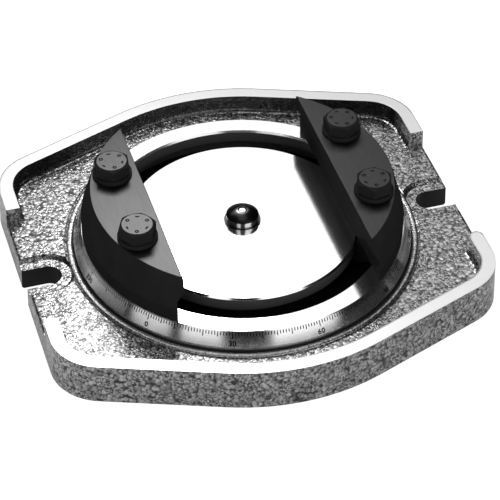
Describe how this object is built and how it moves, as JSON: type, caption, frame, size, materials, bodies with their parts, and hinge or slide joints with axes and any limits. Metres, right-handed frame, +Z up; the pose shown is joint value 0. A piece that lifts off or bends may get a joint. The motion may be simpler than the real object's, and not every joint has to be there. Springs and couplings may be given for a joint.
{
  "type": "machine vice swivel base",
  "caption": "Cast vice swivel base with table slots, a graduated ring turning round a fixed disc with centre pin, and two bolted clamp segments in an annular T-slot.",
  "frame": {"origin": "on the swivel axis, in the plane of the casting's feet", "axes": "+Z up along the swivel axis; +X through the U-slots, across the clamp segments; Y along the segments' gripping edges"},
  "size_m": [0.2872, 0.2794, 0.0712],
  "materials": {
    "hammertone_paint": "glossy hammer-effect grey paint over cast iron, ground bright on the wall's top edge and bored seat",
    "ground_steel": "fine-turned and ground bright steel",
    "black_oxide": "black-oxide steel, oiled satin",
    "plated_fastener": "blackened steel fastener",
    "seal_rubber": "matt black rubber"
  },
  "bodies": {
    "base": {"base_casting": "hammertone_paint", "center_disc": "ground_steel", "disc_screws": "plated_fastener", "disc_dowels": "ground_steel", "center_pin": "black_oxide", "center_pin_washer": "plated_fastener", "center_pin_screw": "plated_fastener", "ring_seal": "seal_rubber"},
    "ring": {"scale_ring": "ground_steel"},
    "left_clamp": {"left_clamp_segment": "black_oxide", "left_washers": "plated_fastener"},
    "right_clamp": {"right_clamp_segment": "black_oxide", "right_washers": "plated_fastener"},
    "left_front_bolt_body": {"left_front_bolt": "plated_fastener"},
    "left_front_nut_body": {"left_front_t_nut": "black_oxide"},
    "left_back_bolt_body": {"left_back_bolt": "plated_fastener"},
    "left_back_nut_body": {"left_back_t_nut": "black_oxide"},
    "right_front_bolt_body": {"right_front_bolt": "plated_fastener"},
    "right_front_nut_body": {"right_front_t_nut": "black_oxide"},
    "right_back_bolt_body": {"right_back_bolt": "plated_fastener"},
    "right_back_nut_body": {"right_back_t_nut": "black_oxide"}
  },
  "joints": [
    {"name": "ring_turn", "type": "hinge", "parent": "base", "child": "ring", "pos_m": [0, 0, 0.0295], "axis": [0, 0, 1], "continuous": true},
    {"name": "left_clamp_swivel", "type": "hinge", "parent": "base", "child": "left_clamp", "pos_m": [0, 0, 0.0295], "axis": [0, 0, 1], "continuous": true},
    {"name": "right_clamp_swivel", "type": "hinge", "parent": "base", "child": "right_clamp", "pos_m": [0, 0, 0.0295], "axis": [0, 0, 1], "continuous": true},
    {"name": "left_front_bolt_turn", "type": "hinge", "parent": "left_clamp", "child": "left_front_bolt_body", "pos_m": [-0.07645, -0.03167, 0.0605], "axis": [0, 0, 1], "range_deg": [0, 250]},
    {"name": "left_front_nut_drop", "type": "slide", "parent": "left_clamp", "child": "left_front_nut_body", "axis": [0, 0, -1], "range_m": [0, 0.00138]},
    {"name": "left_back_bolt_turn", "type": "hinge", "parent": "left_clamp", "child": "left_back_bolt_body", "pos_m": [-0.07645, 0.03167, 0.0605], "axis": [0, 0, 1], "range_deg": [0, 250]},
    {"name": "left_back_nut_drop", "type": "slide", "parent": "left_clamp", "child": "left_back_nut_body", "axis": [0, 0, -1], "range_m": [0, 0.00138]},
    {"name": "right_front_bolt_turn", "type": "hinge", "parent": "right_clamp", "child": "right_front_bolt_body", "pos_m": [0.07645, -0.03167, 0.0605], "axis": [0, 0, 1], "range_deg": [0, 250]},
    {"name": "right_front_nut_drop", "type": "slide", "parent": "right_clamp", "child": "right_front_nut_body", "axis": [0, 0, -1], "range_m": [0, 0.00138]},
    {"name": "right_back_bolt_turn", "type": "hinge", "parent": "right_clamp", "child": "right_back_bolt_body", "pos_m": [0.07645, 0.03167, 0.0605], "axis": [0, 0, 1], "range_deg": [0, 250]},
    {"name": "right_back_nut_drop", "type": "slide", "parent": "right_clamp", "child": "right_back_nut_body", "axis": [0, 0, -1], "range_m": [0, 0.00138]}
  ],
  "couplings": [
    {"joint": "right_clamp_swivel", "follows": "left_clamp_swivel", "ratio": 1},
    {"joint": "left_front_bolt_turn", "follows": "left_front_nut_drop", "rad_per_m": 3141.6},
    {"joint": "left_back_bolt_turn", "follows": "left_back_nut_drop", "rad_per_m": 3141.6},
    {"joint": "right_front_bolt_turn", "follows": "right_front_nut_drop", "rad_per_m": 3141.6},
    {"joint": "right_back_bolt_turn", "follows": "right_back_nut_drop", "rad_per_m": 3141.6}
  ]
}
